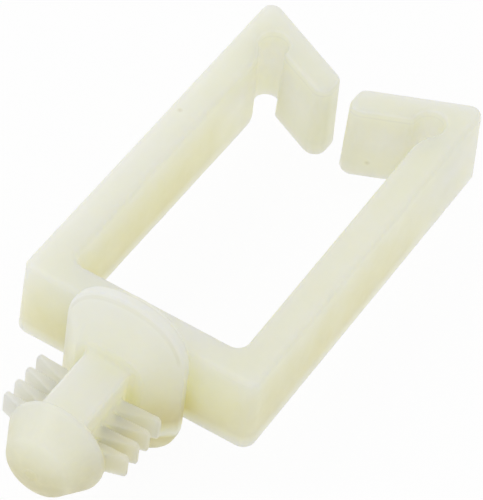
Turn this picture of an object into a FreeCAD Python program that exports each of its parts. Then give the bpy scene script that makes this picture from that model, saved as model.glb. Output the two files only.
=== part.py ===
import FreeCAD, Part
import math
import os

# Cable holder: one moulded nylon piece. A split rectangular loop is carried on a push-in anchor.
# The loop lies flat, with +Z through it. The anchor points along -Y.
# The origin is where the anchor's axis meets the front of the crowned flange.
# All lengths are millimetres and all angles are degrees.

# Loop, as measured on its upper face
loop_width = 16.0
loop_length = 27.3
loop_depth = 5.65
near_bar = 2.05
side_bar = 2.15
arm_toe_in = 0.32
outer_corner = 0.7
inner_corner = 0.8

# Mouth: two stubs that slope in from the far corners and leave a gap
stub_slope = 25.1
stub_thickness = 2.0
mouth_gap = 1.35
stub_tip_round = 0.7

# Hinge notch at the root of each stub
notch_radius = 0.92
notch_bite = 0.85
web_over_notch = 1.1
notch_ramp = 30.0
notch_ramp_blend = 2.4
notch_lip_round = 0.4

# Moulding details
draft_angle = 1.25
edge_round = 0.35
lower_bevel = 0.2

# Flange
flange_width = 8.0
flange_height = 11.8
flange_corner = 3.4
rim_thickness = 0.7
rim_back_bevel = 0.7
rim_front_bevel = 0.2
flange_sink = 0.05
crown_height = 1.55
crown_bulge = 0.42
crown_land = 0.8
crown_land_corner = 0.8

# Anchor stem
stem_width = 3.0
stem_height = 5.2
stem_length = 4.95
stem_edge_round = 0.2
stem_root_round = 0.3

# Barbs
barb_count = 4
barb_span = 8.45
barb_height = 1.65
barb_rise = 0.28
barb_tip_thickness = 0.3
barb_pitch = 1.15
first_barb = 0.77
barb_back_rake = 3.0
barb_front_rake = 18.0
barb_top_corner = 0.4
barb_low_corner = 0.12

# Nose
nose_diameter = 6.3
nose_land = 0.35
nose_base_bevel = 0.15
nose_taper_length = 1.95
nose_tip_diameter = 4.2
nose_tip_rise = 0.6
nose_tip_round = 0.5
gate_diameter = 0.9
gate_depth = 0.1


def sin(angle):
    return math.sin(math.radians(angle))


def cos(angle):
    return math.cos(math.radians(angle))


def tan(angle):
    return math.tan(math.radians(angle))


def meet(point_a, dir_a, point_b, dir_b):
    """Crossing of two lines in the plane, each given by a point and a direction."""
    cross = dir_a[0] * dir_b[1] - dir_a[1] * dir_b[0]
    dx = point_b[0] - point_a[0]
    dy = point_b[1] - point_a[1]
    t = (dx * dir_b[1] - dy * dir_b[0]) / cross
    return (point_a[0] + t * dir_a[0], point_a[1] + t * dir_a[1])


def unit(start, end):
    dx = end[0] - start[0]
    dy = end[1] - start[1]
    length = math.hypot(dx, dy)
    return (dx / length, dy / length)


def rounded_outline(corners, inset, level):
    """Closed wire through rounded corners (x, y, radius), at z = level.

    The corners run with the material on their left. Each side is set in by inset,
    so outside radii shrink and inside radii grow by it.
    """
    count = len(corners)
    sides = []
    for i in range(count):
        start = corners[i]
        end = corners[(i + 1) % count]
        along = unit(start, end)
        sides.append(((start[0] - along[1] * inset, start[1] + along[0] * inset), along))

    arcs = []
    for i in range(count):
        before = sides[i - 1]
        after = sides[i]
        corner = meet(before[0], before[1], after[0], after[1])
        turn = math.atan2(before[1][0] * after[1][1] - before[1][1] * after[1][0],
                          before[1][0] * after[1][0] + before[1][1] * after[1][1])
        side = math.copysign(1.0, turn)
        radius = corners[i][2] - side * inset
        reach = radius * math.tan(abs(turn) / 2)
        start = FreeCAD.Vector(corner[0] - before[1][0] * reach, corner[1] - before[1][1] * reach, level)
        end = FreeCAD.Vector(corner[0] + after[1][0] * reach, corner[1] + after[1][1] * reach, level)
        centre = FreeCAD.Vector(start.x - before[1][1] * side * radius,
                                start.y + before[1][0] * side * radius, level)
        middle = (start + end) * 0.5 - centre
        middle.normalize()
        arcs.append((start, centre + middle * radius, end))

    edges = []
    for i in range(count):
        start, middle, end = arcs[i]
        edges.append(Part.Arc(start, middle, end).toShape())
        following = arcs[(i + 1) % count][0]
        if end.distanceToPoint(following) > 1e-6:
            edges.append(Part.LineSegment(end, following).toShape())
    return Part.Wire(edges)


def loop_corners():
    """Corners of the split loop, near bar at y = 0, material on the left of the path."""
    half_width = loop_width / 2
    arm = unit((half_width, 0), (half_width - arm_toe_in, loop_length))
    arm_face = (half_width - side_bar / arm[1], 0)
    far_corner = (half_width - arm_toe_in, loop_length)
    slope = (-cos(stub_slope), -sin(stub_slope))
    stub_face = (far_corner[0], loop_length - stub_thickness / cos(stub_slope))
    centre_gap = (mouth_gap / 2, 0)
    up = (0, 1)

    tip_outer = meet(far_corner, slope, centre_gap, up)
    tip_inner = meet(stub_face, slope, centre_gap, up)

    # The notch circle bites into the arm and leaves a web under the stub's outer face.
    reach = (notch_radius + web_over_notch) / cos(stub_slope)
    web_line = (far_corner[0], loop_length - reach)
    bite_line = (arm_face[0] + (notch_bite - notch_radius) / arm[1], 0)
    notch_x, notch_y = meet(web_line, slope, bite_line, arm)
    left = notch_x - notch_radius
    right = notch_x + notch_radius
    top = notch_y + notch_radius
    lip = meet(stub_face, slope, (left, 0), up)
    ramp_top = (right, notch_y - notch_radius * tan(notch_ramp / 2))
    ramp_foot = meet(ramp_top, (-sin(notch_ramp), -cos(notch_ramp)), arm_face, arm)
    near_inner = meet(arm_face, arm, (0, near_bar), (1, 0))

    right_half = [
        (half_width, 0, outer_corner),
        (*far_corner, outer_corner),
        (*tip_outer, stub_tip_round),
        (*tip_inner, stub_tip_round),
        (*lip, notch_lip_round),
        (left, top, notch_radius),
        (right, top, notch_radius),
        (*ramp_top, notch_radius),
        (*ramp_foot, notch_ramp_blend),
        (*near_inner, inner_corner),
    ]
    left_half = [(-x, y, radius) for x, y, radius in reversed(right_half)]
    return right_half + left_half


def make_loop():
    """The split loop, whose walls thicken by the draft down to the parting line at its lower face."""
    half = loop_depth / 2
    corners = loop_corners()
    growth = loop_depth * tan(draft_angle)
    wires = [rounded_outline(corners, -growth, -half), rounded_outline(corners, 0, half)]
    body = Part.makeLoft(wires, True, True)

    def rim(level):
        return [edge for edge in body.Edges if all(abs(vertex.Z - level) < 1e-6 for vertex in edge.Vertexes)]

    body = body.makeFillet(edge_round, rim(half))
    body = body.makeChamfer(lower_bevel, rim(-half))
    body.translate(FreeCAD.Vector(0, flange_depth(), 0))
    return body


def flange_depth():
    return crown_height + rim_thickness + rim_back_bevel


def flange_outline(width, height, corner, level):
    """Disc with two flat sides and rounded corners, in the plane y = level."""
    half_width = width / 2
    radius = height / 2
    centre_x = half_width - corner
    centre_z = math.sqrt((radius - corner) ** 2 - centre_x ** 2)
    reach = radius / (radius - corner)
    bend = math.atan2(centre_z, centre_x) / 2

    def at(x, z):
        return FreeCAD.Vector(x, level, z)

    edges = []
    for turn in (1, -1):
        flat_start = at(turn * half_width, -turn * centre_z)
        flat_end = at(turn * half_width, turn * centre_z)
        first_mid = at(turn * (centre_x + corner * math.cos(bend)), turn * (centre_z + corner * math.sin(bend)))
        top_start = at(turn * centre_x * reach, turn * centre_z * reach)
        top_end = at(-turn * centre_x * reach, turn * centre_z * reach)
        last_mid = at(-turn * (centre_x + corner * math.cos(bend)), turn * (centre_z + corner * math.sin(bend)))
        next_flat = at(-turn * half_width, turn * centre_z)
        edges.append(Part.LineSegment(flat_start, flat_end).toShape())
        edges.append(Part.Arc(flat_end, first_mid, top_start).toShape())
        edges.append(Part.Arc(top_start, at(0, turn * radius), top_end).toShape())
        edges.append(Part.Arc(top_end, last_mid, next_flat).toShape())
    return Part.Wire(edges)


def make_flange():
    """Bevelled rim with a crowned front that rises to a small land around the stem."""
    rim_front = crown_height
    rim_back = rim_front + rim_thickness
    back = flange_depth() + flange_sink
    root_width = stem_width + 2 * crown_land
    root_height = stem_height + 2 * crown_land

    def rim_outline(inset, level):
        return flange_outline(flange_width - 2 * inset, flange_height - 2 * inset, flange_corner - inset, level)

    rim = Part.makeLoft([
        rim_outline(rim_front_bevel, rim_front),
        rim_outline(0, rim_front + rim_front_bevel),
        rim_outline(0, rim_back),
        rim_outline(rim_back_bevel, back)], True, True)
    crown = Part.makeLoft([
        rim_outline(rim_front_bevel, rim_front),
        flange_outline((flange_width + root_width) / 2, (flange_height + root_height) / 2,
                       (flange_corner + crown_land_corner) / 2, rim_front - crown_bulge * crown_height),
        flange_outline(root_width, root_height, crown_land_corner, 0)], True, False)
    return rim.fuse(crown).removeSplitter()


def make_barb(index, hand):
    """One raked blade: square back towards the flange, ramped front towards the nose."""
    tip_x = barb_span / 2
    root_x = stem_width / 4
    length = tip_x - root_x
    tip_back = -(first_barb + index * barb_pitch)
    tip_front = tip_back - barb_tip_thickness
    profile = [
        (root_x, tip_back - length * tan(barb_back_rake)),
        (root_x, tip_front - length * tan(barb_front_rake)),
        (tip_x, tip_front),
        (tip_x, tip_back),
    ]
    bottom = barb_rise - barb_height / 2
    points = [FreeCAD.Vector(hand * x, y, bottom) for x, y in profile]
    blade = Part.Face(Part.makePolygon(points + points[:1])).extrude(FreeCAD.Vector(0, 0, barb_height))
    tip_edges = [edge for edge in blade.Edges
                 if all(abs(abs(vertex.X) - tip_x) < 1e-6 for vertex in edge.Vertexes)
                 and abs(edge.Vertexes[0].Z - edge.Vertexes[1].Z) < 1e-6]
    top_edge = max(tip_edges, key=lambda edge: edge.Vertexes[0].Z)
    solid = blade.makeFillet(barb_top_corner, [top_edge])
    low_edges = [edge for edge in solid.Edges
                 if all(abs(abs(vertex.X) - tip_x) < 1e-6 and abs(vertex.Z - bottom) < 1e-6
                        for vertex in edge.Vertexes)]
    return solid.makeFillet(barb_low_corner, low_edges)


def make_nose():
    """Blunt nose turned about the anchor's axis: short land, taper and shallow domed tip."""
    base = -stem_length
    radius = nose_diameter / 2
    tip_radius = nose_tip_diameter / 2
    taper_start = base - nose_base_bevel - nose_land
    taper_end = taper_start - nose_taper_length
    apex = taper_end - nose_tip_rise

    def at(r, y):
        return FreeCAD.Vector(r, y, 0)

    base_edge = at(radius - nose_base_bevel, base)
    land_start = at(radius, base - nose_base_bevel)
    dome_radius = (tip_radius ** 2 + nose_tip_rise ** 2) / (2 * nose_tip_rise)
    dome_mid = tip_radius / 2
    tip_mid = at(dome_mid, apex + dome_radius - math.sqrt(dome_radius ** 2 - dome_mid ** 2))
    edges = [
        Part.LineSegment(at(0, base), base_edge).toShape(),
        Part.LineSegment(base_edge, land_start).toShape(),
        Part.LineSegment(land_start, at(radius, taper_start)).toShape(),
        Part.LineSegment(at(radius, taper_start), at(tip_radius, taper_end)).toShape(),
        Part.Arc(at(tip_radius, taper_end), tip_mid, at(0, apex)).toShape(),
        Part.LineSegment(at(0, apex), at(0, base)).toShape(),
    ]
    axis = FreeCAD.Vector(0, 1, 0)
    nose = Part.Face(Part.Wire(edges)).revolve(FreeCAD.Vector(0, 0, 0), axis, 360)
    tip_edges = [edge for edge in nose.Edges
                 if edge.Closed and abs(edge.BoundBox.YMin - taper_end) < 1e-3
                 and abs(edge.BoundBox.YMax - taper_end) < 1e-3]
    nose = nose.makeFillet(nose_tip_round, tip_edges)
    gate = Part.makeCylinder(gate_diameter / 2, 1, FreeCAD.Vector(0, apex + gate_depth, 0),
                             FreeCAD.Vector(0, -1, 0))
    return nose.cut(gate)


def make_anchor():
    """Flange, stem, barbs and nose as one solid."""
    crown_root = crown_height / 2
    nose_root = nose_land
    stem = Part.makeBox(stem_width, stem_length + crown_root + nose_root, stem_height,
                        FreeCAD.Vector(-stem_width / 2, -stem_length - nose_root, -stem_height / 2))
    long_edges = [edge for edge in stem.Edges
                  if abs(edge.Vertexes[0].Y - edge.Vertexes[1].Y) > stem_length]
    stem = stem.makeFillet(stem_edge_round, long_edges)
    anchor = make_flange().fuse(stem).removeSplitter()
    root_edges = [edge for edge in anchor.Edges
                  if edge.BoundBox.YLength < 1e-3 and abs(edge.BoundBox.YMin) < 1e-3
                  and edge.BoundBox.XMax < stem_width / 2 + 1e-3 and edge.BoundBox.XMin > -stem_width / 2 - 1e-3
                  and edge.BoundBox.ZMax < stem_height / 2 + 1e-3 and edge.BoundBox.ZMin > -stem_height / 2 - 1e-3]
    anchor = anchor.makeFillet(stem_root_round, root_edges)
    barbs = [make_barb(index, hand) for index in range(barb_count) for hand in (1, -1)]
    return anchor.fuse(barbs + [make_nose()])


def make_cable_holder():
    return make_loop().fuse(make_anchor()).removeSplitter()


os.makedirs("parts", exist_ok=True)
holder = make_cable_holder()
print("solids", len(holder.Solids), "valid", holder.isValid(), "volume", round(holder.Volume, 2))
holder.exportStep("parts/cable_holder.step")
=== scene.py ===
import bpy
import math
from collections import namedtuple
from mathutils import Matrix, Vector


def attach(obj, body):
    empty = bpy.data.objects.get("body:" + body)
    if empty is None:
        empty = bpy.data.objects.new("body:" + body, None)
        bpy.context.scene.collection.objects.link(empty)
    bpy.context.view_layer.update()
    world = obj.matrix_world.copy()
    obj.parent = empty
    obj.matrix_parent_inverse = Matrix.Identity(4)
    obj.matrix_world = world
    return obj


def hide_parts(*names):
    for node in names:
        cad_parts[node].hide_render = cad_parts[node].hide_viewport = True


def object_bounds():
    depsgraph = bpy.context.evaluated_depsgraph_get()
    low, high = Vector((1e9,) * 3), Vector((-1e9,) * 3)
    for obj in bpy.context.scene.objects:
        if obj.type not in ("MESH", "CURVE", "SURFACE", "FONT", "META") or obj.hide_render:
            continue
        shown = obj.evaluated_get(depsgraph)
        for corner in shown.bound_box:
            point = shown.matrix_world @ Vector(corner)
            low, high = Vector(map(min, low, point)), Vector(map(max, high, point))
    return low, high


# Cable holder in natural nylon: one moulded piece, seen from above its push-in anchor.
# Names that end in _mm are millimetres in the frame. Other lengths are metres, and angles are degrees.
MM = 0.001

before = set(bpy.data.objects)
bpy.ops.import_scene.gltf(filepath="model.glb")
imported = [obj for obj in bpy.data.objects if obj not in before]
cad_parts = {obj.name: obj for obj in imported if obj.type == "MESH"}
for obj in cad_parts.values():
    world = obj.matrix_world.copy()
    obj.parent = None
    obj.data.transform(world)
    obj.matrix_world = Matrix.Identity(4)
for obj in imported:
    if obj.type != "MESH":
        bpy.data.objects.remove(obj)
cad_low, cad_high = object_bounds()
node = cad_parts["cable_holder"]

# Mesh of the moulded piece
voxel_mm = 0.08
smooth_passes = 1
smooth_factor = 0.5
kept_share = 0.33

# Camera, solved from the photograph's edges
camera_place_mm = (102.963, -195.508, 258.567)
camera_target_mm = (0.633, 13.801, 0.0)
camera_roll = 7.80
camera_lens = 424.45
sensor_width = 36.0
clip_start = 0.01
clip_end = 10.0

# Floor and light. Each lamp is a disc that faces the origin: name, watts, diameter and place.
# The bounce lamp lies just over the floor and faces up, for the light that a white table throws back.
floor_size = 4.0
floor_grey = 0.92
floor_roughness = 0.9
floor_glow_share = 0.95
sky_strength = 0.755
lamps = [
    ("key", 0.22, 0.18, (-0.22, -0.04, 0.39)),
    ("rim", 0.05, 0.06, (-0.33, 0.29, 0.24)),
    ("bounce", 0.0015, 0.10, (0.0, 0.0, -0.0057)),
    ("fill", 0.08, 0.20, (0.05, -0.50, 0.20)),
    ("edge", 0.02, 0.04, (-0.48, -0.14, 0.03)),
]

# Nylon. The scatter's reach is for red, green and blue, as shares of scatter_mm.
scatter_mm = 12.0
scatter_reach = (1.0, 0.9, 0.55)
scatter_forward = 0.0
nylon_ior = 1.53
worn_range = (0.3, 0.7)
roughness_range = (0.33, 0.47)
ripple_strength = 0.25
ripple_mm = 0.05
grain_strength = 0.2
grain_mm = 0.008

# Noises over the piece: cycles per millimetre, detail and roughness.
noises = {
    "scratches": (2.6, 3.0, 0.7),
    "mottle": (0.35, 3.0, 0.55),
    "clouds": (1.6, 2.0, 0.5),
    "wear": (0.9, 4.0, 0.6),
    "ripple": (0.8, 2.0, 0.5),
    "grain": (9.0, 3.0, 0.6),
}

# Tints. Many of them are painted light and shade, as the layers below say.
tint_far = (0.82, 0.83, 0.60)
tint_top = (0.83, 0.84, 0.66)
tint_painted_shade = (0.67, 0.61, 0.37)
tint_painted_deep_shade = (0.50, 0.44, 0.22)
tint_pale = (0.92, 0.92, 0.80)
tint_warm = (0.86, 0.83, 0.62)
tint_painted_grey_shade = (0.72, 0.72, 0.58)
tint_painted_nose_shade = (0.35, 0.32, 0.19)
tint_painted_web_light_top = (0.99, 0.99, 0.87)
tint_painted_web_light_low = (1.0, 0.98, 0.63)
tint_painted_glow = (0.97, 0.95, 0.62)
tint_painted_corner_shade = (0.76, 0.77, 0.60)
tint_painted_lit_fins = (0.95, 0.94, 0.74)
tint_painted_shaded_fins = (0.93, 0.85, 0.40)
tint_painted_root_light = (0.98, 0.95, 0.70)
tint_painted_highlight = (0.97, 0.98, 0.86)
tint_painted_crease_shade = (0.62, 0.60, 0.42)
tint_speck = (0.66, 0.63, 0.44)
tint_painted_lip_glow = (1.0, 0.98, 0.70)

# Places on the piece. Those with x and y only are upright lines.
notches_mm = [(-5.4, 26.0), (5.4, 26.0)]
corners_mm = [(-8.0, 29.9), (8.0, 29.9), (-8.0, 3.0), (8.0, 3.0)]
stub_corner_mm = (7.68, 30.25)
stub_slope = 25.1
thin_mm = (4.2, 3.2, 1.2)
bar_middle_mm = (2.8, 4.3, 2.8)
flange_low_mm = (3.6, 1.2, -2.6)
scuff_mm = (-0.2, -7.9, 0.0)
specks_mm = [(-7.12, 18.8, 2.82), (2.47, 25.5, -1.46)]

# The nylon's colour is tint_far under layers, most of which paint light and shade into it. A layer adds
# its tint by its strength times all its ramps.
# A ramp rises from least at start to 1 at full, in millimetres along x, y or z, away from the middle plane
# (across), in from the stubs' sloped outer faces (stub depth) or from a place, or else over a noise.
# A graded tint goes from the first to the second with its ramp.
Layer = namedtuple("Layer", "tint strength ramps")
Graded = namedtuple("Graded", "first second ramp")
Ramp = namedtuple("Ramp", "what start full least", defaults=[0.0])


def span(what, low, high, soft):
    """Two ramps that leave 1 from low to high, and 0 beyond soft on both sides."""
    return [Ramp(what, low - soft, low), Ramp(what, high + soft, high)]


painted_light_reach = Ramp("y", 26.0, 17.0, least=0.2)
anchor_side = Ramp("y", 3.0, 2.4)
crest = Ramp("z", 3.0, 3.4)
mouth = [Ramp("y", 24.0, 24.8), Ramp("across", 6.9, 6.6)]
painted_web_light = Graded(tint_painted_web_light_top, tint_painted_web_light_low, Ramp("z", 1.2, -2.2))
web_limits = [
    Ramp("z", 2.6, 0.2),
    Ramp("across", 7.9, 7.2, least=0.45),
    Ramp("stub depth", 0.2, 0.9, least=0.3),
]
painted_fin_light_and_shade = Graded(tint_painted_lit_fins, tint_painted_shaded_fins, Ramp("x", -1.0, 1.0))

layers = [
    # Painted light and shade: light that has come down through the nylon is painted yellower and darker
    # low down, most at the anchor and least at the far end; the anchor's upper part is painted paler, and
    # the colour is painted darker towards +x, the side away from the lamps.
    Layer(tint_top, 1.0, [painted_light_reach]),
    Layer(tint_painted_shade, 1.0, [Ramp("z", 2.8, -3.0), painted_light_reach]),
    Layer(tint_pale, 0.35, [anchor_side, Ramp("z", -1.0, 1.5)]),
    Layer(tint_painted_shade, 0.25, [Ramp("x", -1.0, 8.0), painted_light_reach]),
    # Nose and underside: painted shade, greyer over the nose, darker low on the nose and darker towards
    # the bottom
    Layer(tint_painted_grey_shade, 0.6, [Ramp("y", -4.8, -5.6)]),
    Layer(tint_painted_nose_shade, 1.0, [Ramp("z", 2.0, -3.0), Ramp("y", -3.0, -6.0)]),
    Layer(tint_painted_deep_shade, 1.0, [Ramp("z", -2.0, -5.8)]),
    # Painted light: the webs at the notches and the stubs are thin, so more light comes through, and they
    # are painted paler.
    *[Layer(painted_web_light, 1.0, [Ramp(notch, 5.6, 2.4), *web_limits]) for notch in notches_mm],
    # The mouth's upper edge shows as a fine painted highlight over a darker painted line of shade.
    Layer(tint_painted_grey_shade, 0.4, [*span("z", 2.34, 2.42, 0.05), *mouth]),
    Layer(tint_painted_highlight, 0.24, [*span("z", 2.70, 2.74, 0.05), *mouth]),
    # Painted light and shade: light comes through the near bar beside the flange, painted as a pale glow,
    # and less through the loop's outer corners, painted darker.
    Layer(tint_painted_glow, 0.8, [Ramp(thin_mm, 3.4, 0.8), Ramp("y", 2.7, 2.9)]),
    *[Layer(tint_painted_corner_shade, 0.6, [Ramp(corner, 4.5, 0.5), Ramp("z", 1.5, 2.8)]) for corner in corners_mm],
    # Barbs, and the stem's sides between them: painted light on the left barbs, painted shade on the right
    # ones, and painted light in the shaded spaces at their roots
    Layer(painted_fin_light_and_shade, 1.0, [Ramp("across", 1.5, 2.0), *span("y", -4.8, -0.8, 0.4)]),
    Layer(tint_painted_root_light, 1.0, [Ramp("across", 3.4, 1.6), Ramp("across", 1.44, 1.49),
                           *span("y", -4.9, -0.5, 0.2), Ramp("z", 2.2, 1.2)]),
    # The flange's rim shows as a painted highlight band between two fine creases painted with shade.
    Layer(tint_painted_crease_shade, 0.28, [*span("y", 1.50, 1.58, 0.06), crest]),
    Layer(tint_painted_crease_shade, 0.3, [*span("y", 2.28, 2.38, 0.06), crest]),
    Layer(tint_painted_highlight, 0.12, [*span("y", 1.72, 2.14, 0.06), crest]),
    # Marks: a scuff on the nose's tip and two specks. Between them, a pale patch on the near bar is
    # painted light, and a deep patch low on the flange is painted shade.
    Layer(tint_speck, 0.45, [Ramp(scuff_mm, 0.9, 0.3), Ramp("scratches", 0.5, 0.62)]),
    Layer(tint_pale, 0.6, [Ramp(bar_middle_mm, 3.2, 0.5)]),
    Layer(tint_painted_deep_shade, 0.6, [Ramp(flange_low_mm, 3.0, 0.9)]),
    *[Layer(tint_speck, 1.0, [Ramp(speck, 0.22, 0.0)]) for speck in specks_mm],
    # The loop's lower edge glows: painted light.
    Layer(tint_painted_lip_glow, 0.85, [Ramp("z", -1.7, -2.7), Ramp("z", -3.2, -2.9)]),
    # Uneven colour
    Layer(tint_pale, 0.22, [Ramp("mottle", 0.35, 0.75)]),
    Layer(tint_warm, 0.16, [Ramp("clouds", 0.5, 0.8)]),
]


def mm(*place):
    return Vector(place) * MM


# Material nodes

def link(tree, output, socket):
    tree.links.new(output, socket)


def maths(tree, operation, *values):
    """Number from sockets, by one operation."""
    step = tree.nodes.new("ShaderNodeMath")
    step.operation = operation
    for value, socket in zip(values, step.inputs):
        link(tree, value, socket)
    return step.outputs["Value"]


def vector_maths(tree, operation, vector, other):
    """Result of one operation on a socket and a fixed vector."""
    step = tree.nodes.new("ShaderNodeVectorMath")
    step.operation = operation
    link(tree, vector, step.inputs[0])
    step.inputs[1].default_value = other
    gives_number = operation in ("DISTANCE", "DOT_PRODUCT")
    return step.outputs["Value" if gives_number else "Vector"]


def noise(tree, position, scale, detail, roughness):
    """3-D noise over the piece's own coordinates, scale in cycles per millimetre."""
    texture = tree.nodes.new("ShaderNodeTexNoise")
    texture.inputs["Scale"].default_value = scale
    texture.inputs["Detail"].default_value = detail
    texture.inputs["Roughness"].default_value = roughness
    link(tree, position, texture.inputs["Vector"])
    return texture.outputs["Fac"]


def remap(tree, value, low, high, to_low, to_high):
    """Value from low..high to to_low..to_high, clamped."""
    step = tree.nodes.new("ShaderNodeMapRange")
    step.inputs["From Min"].default_value = low
    step.inputs["From Max"].default_value = high
    step.inputs["To Min"].default_value = to_low
    step.inputs["To Max"].default_value = to_high
    link(tree, value, step.inputs["Value"])
    return step.outputs["Result"]


def mix_colour(tree, factor, first, second):
    """Blend of two colours. Each is a tuple or a socket."""
    mixer = tree.nodes.new("ShaderNodeMix")
    mixer.data_type = "RGBA"
    link(tree, factor, mixer.inputs["Factor"])
    for colour, socket in ((first, mixer.inputs["A"]), (second, mixer.inputs["B"])):
        if isinstance(colour, tuple):
            socket.default_value = (*colour, 1.0)
        else:
            link(tree, colour, socket)
    return mixer.outputs["Result"]


def bump(tree, height, strength, distance_mm, normal=None):
    """Normal roughened by a height, on top of another normal if one is given."""
    step = tree.nodes.new("ShaderNodeBump")
    step.inputs["Strength"].default_value = strength
    step.inputs["Distance"].default_value = distance_mm * MM
    link(tree, height, step.inputs["Height"])
    if normal is not None:
        link(tree, normal, step.inputs["Normal"])
    return step.outputs["Normal"]


def coordinates(tree):
    """The piece's coordinates in millimetres, and the noises, as sockets by name."""
    place = tree.nodes.new("ShaderNodeTexCoord")
    position = vector_maths(tree, "MULTIPLY", place.outputs["Object"], (1 / MM, 1 / MM, 1 / MM))
    axes = tree.nodes.new("ShaderNodeSeparateXYZ")
    link(tree, position, axes.inputs[0])
    across = maths(tree, "ABSOLUTE", axes.outputs["X"])
    half = tree.nodes.new("ShaderNodeCombineXYZ")
    link(tree, across, half.inputs["X"])
    link(tree, axes.outputs["Y"], half.inputs["Y"])
    from_corner = vector_maths(tree, "SUBTRACT", half.outputs["Vector"], (*stub_corner_mm, 0.0))
    slope = math.radians(stub_slope)
    inward = (math.sin(slope), -math.cos(slope), 0.0)
    sources = {
        "position": position,
        "flat position": vector_maths(tree, "MULTIPLY", position, (1.0, 1.0, 0.0)),
        "x": axes.outputs["X"],
        "y": axes.outputs["Y"],
        "z": axes.outputs["Z"],
        "across": across,
        "stub depth": vector_maths(tree, "DOT_PRODUCT", from_corner, inward),
    }
    for name, settings in noises.items():
        sources[name] = noise(tree, position, *settings)
    return sources


def distance(tree, sources, place_mm):
    """Distance to a point, or to an upright line where the place has no z."""
    if len(place_mm) == 2:
        return vector_maths(tree, "DISTANCE", sources["flat position"], (*place_mm, 0.0))
    return vector_maths(tree, "DISTANCE", sources["position"], place_mm)


def mask(tree, sources, strength, ramps):
    """Strength times every ramp."""
    result = None
    most = strength
    for ramp in ramps:
        value = sources[ramp.what] if isinstance(ramp.what, str) else distance(tree, sources, ramp.what)
        rise = remap(tree, value, ramp.start, ramp.full, ramp.least * most, most)
        result = rise if result is None else maths(tree, "MULTIPLY", result, rise)
        most = 1.0
    return result


def nylon():
    """Satin natural nylon: warm, slightly translucent, faintly mottled, with fine moulded grain, and with
    light and shade painted into its colour.
    """
    material = bpy.data.materials.new("natural_nylon")
    material.use_nodes = True
    tree = material.node_tree
    shader = tree.nodes["Principled BSDF"]
    sources = coordinates(tree)

    colour = tint_far
    for tint, strength, ramps in layers:
        if isinstance(tint, Graded):
            tint = mix_colour(tree, mask(tree, sources, 1.0, [tint.ramp]), tint.first, tint.second)
        colour = mix_colour(tree, mask(tree, sources, strength, ramps), colour, tint)
    link(tree, colour, shader.inputs["Base Color"])
    link(tree, remap(tree, sources["wear"], *worn_range, *roughness_range), shader.inputs["Roughness"])

    shader.inputs["Subsurface Weight"].default_value = 1.0
    shader.inputs["Subsurface Radius"].default_value = scatter_reach
    shader.inputs["Subsurface Scale"].default_value = scatter_mm * MM
    shader.inputs["Subsurface Anisotropy"].default_value = scatter_forward
    shader.inputs["IOR"].default_value = nylon_ior

    ripple = bump(tree, sources["ripple"], ripple_strength, ripple_mm)
    grain = bump(tree, sources["grain"], grain_strength, grain_mm, ripple)
    link(tree, grain, shader.inputs["Normal"])
    return material


def floor_finish():
    """Plain floor that is white in view and in reflections, and keeps the object's soft shadow."""
    material = bpy.data.materials.new("floor_white")
    material.use_nodes = True
    tree = material.node_tree
    shader = tree.nodes["Principled BSDF"]
    shader.inputs["Base Color"].default_value = (floor_grey, floor_grey, floor_grey, 1.0)
    shader.inputs["Roughness"].default_value = floor_roughness
    glow = tree.nodes.new("ShaderNodeEmission")
    glow.inputs["Strength"].default_value = 1.0
    rays = tree.nodes.new("ShaderNodeLightPath")
    seen = rays.outputs["Is Camera Ray"]
    for kind in ("Is Glossy Ray", "Is Transmission Ray"):
        seen = maths(tree, "MAXIMUM", seen, rays.outputs[kind])
    mixer = tree.nodes.new("ShaderNodeMixShader")
    link(tree, remap(tree, seen, 0.0, 1.0, 0.0, floor_glow_share), mixer.inputs["Fac"])
    link(tree, shader.outputs["BSDF"], mixer.inputs[1])
    link(tree, glow.outputs["Emission"], mixer.inputs[2])
    link(tree, mixer.outputs["Shader"], tree.nodes["Material Output"].inputs["Surface"])
    return material


# The moulded piece

def apply_modifier(piece, kind, **settings):
    modifier = piece.modifiers.new(kind.lower(), kind)
    for name, value in settings.items():
        setattr(modifier, name, value)
    with bpy.context.temp_override(object=piece, active_object=piece, selected_objects=[piece]):
        bpy.ops.object.modifier_apply(modifier=modifier.name)


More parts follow.
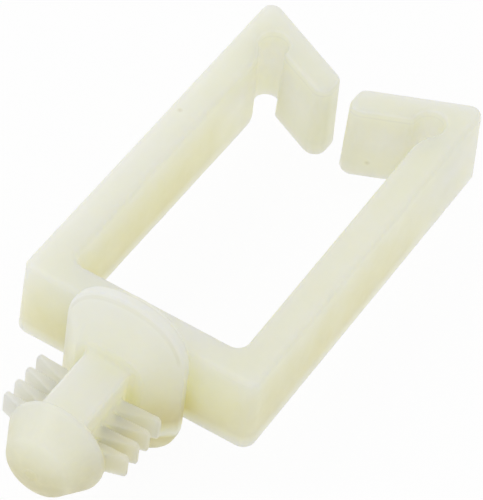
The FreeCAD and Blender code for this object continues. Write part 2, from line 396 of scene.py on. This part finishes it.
def moulded_piece():
    """The solid as an even, fine mesh whose edges are softened as a moulding's are."""
    mesh = node.data.copy()
    mesh.name = "moulded_holder"
    mesh.materials.clear()
    mesh.transform(node.matrix_world)
    mesh.transform(Matrix.Scale(1 / MM, 4))
    piece = bpy.data.objects.new("moulded_holder", mesh)
    bpy.context.scene.collection.objects.link(piece)
    apply_modifier(piece, "REMESH", mode="VOXEL", voxel_size=voxel_mm, use_smooth_shade=True)
    apply_modifier(piece, "SMOOTH", factor=smooth_factor, iterations=smooth_passes)
    apply_modifier(piece, "DECIMATE", ratio=kept_share)
    piece.data.transform(Matrix.Scale(MM, 4))
    return piece


piece = moulded_piece()
piece.data.materials.append(nylon())
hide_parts("cable_holder")
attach(piece, "root")

# Floor, light and camera

bpy.ops.mesh.primitive_plane_add(size=floor_size, location=(0, 0, cad_low.z))
floor = bpy.context.object
floor.name = "floor"
floor.data.materials.append(floor_finish())

world = bpy.data.worlds.new("studio")
bpy.context.scene.world = world
world.use_nodes = True
background = world.node_tree.nodes["Background"]
background.inputs["Color"].default_value = (1.0, 1.0, 1.0, 1.0)
background.inputs["Strength"].default_value = sky_strength

for name, watts, diameter, place in lamps:
    lamp = bpy.data.lights.new(name, "AREA")
    lamp.shape = "DISK"
    lamp.size = diameter
    lamp.energy = watts
    stand = bpy.data.objects.new(name, lamp)
    stand.visible_camera = False
    stand.location = place
    stand.rotation_euler = (-Vector(place)).to_track_quat("-Z", "Y").to_euler()
    bpy.context.scene.collection.objects.link(stand)

view = bpy.data.cameras.new("camera")
view.sensor_width = sensor_width
view.lens = camera_lens
view.clip_start = clip_start
view.clip_end = clip_end
camera = bpy.data.objects.new("camera", view)
camera_place = mm(*camera_place_mm)
aim = (mm(*camera_target_mm) - camera_place).to_track_quat("-Z", "Y")
turn = Matrix.Rotation(math.radians(camera_roll), 4, "Z")
camera.matrix_world = Matrix.Translation(camera_place) @ aim.to_matrix().to_4x4() @ turn
bpy.context.scene.collection.objects.link(camera)
bpy.context.scene.camera = camera
bpy.context.scene.view_settings.view_transform = "Standard"
